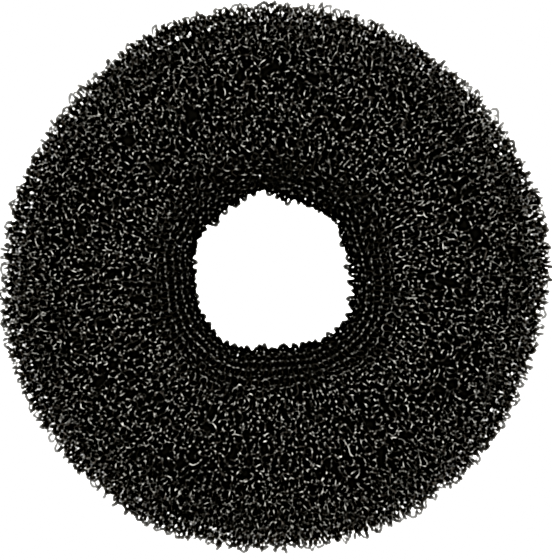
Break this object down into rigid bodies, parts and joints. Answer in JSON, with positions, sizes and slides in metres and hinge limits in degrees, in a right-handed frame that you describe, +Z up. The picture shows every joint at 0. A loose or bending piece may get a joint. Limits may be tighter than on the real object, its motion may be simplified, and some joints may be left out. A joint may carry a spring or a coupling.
{
  "type": "hair donut bun maker",
  "caption": "Soft ring of rolled knitted filament mesh that a ponytail is pulled through, to fill and hold a round bun.",
  "frame": {"origin": "middle of the ring's outline on the surface that it lies on", "axes": "+Z up through the hole, X and Y across the ring; +Y is the picture's top edge"},
  "size_m": [0.0844, 0.0842, 0.0296],
  "materials": {
    "knitted_mesh": "glossy monofilament knit"
  },
  "bodies": {
    "root": {"rolled_mesh": "knitted_mesh"}
  },
  "joints": []
}
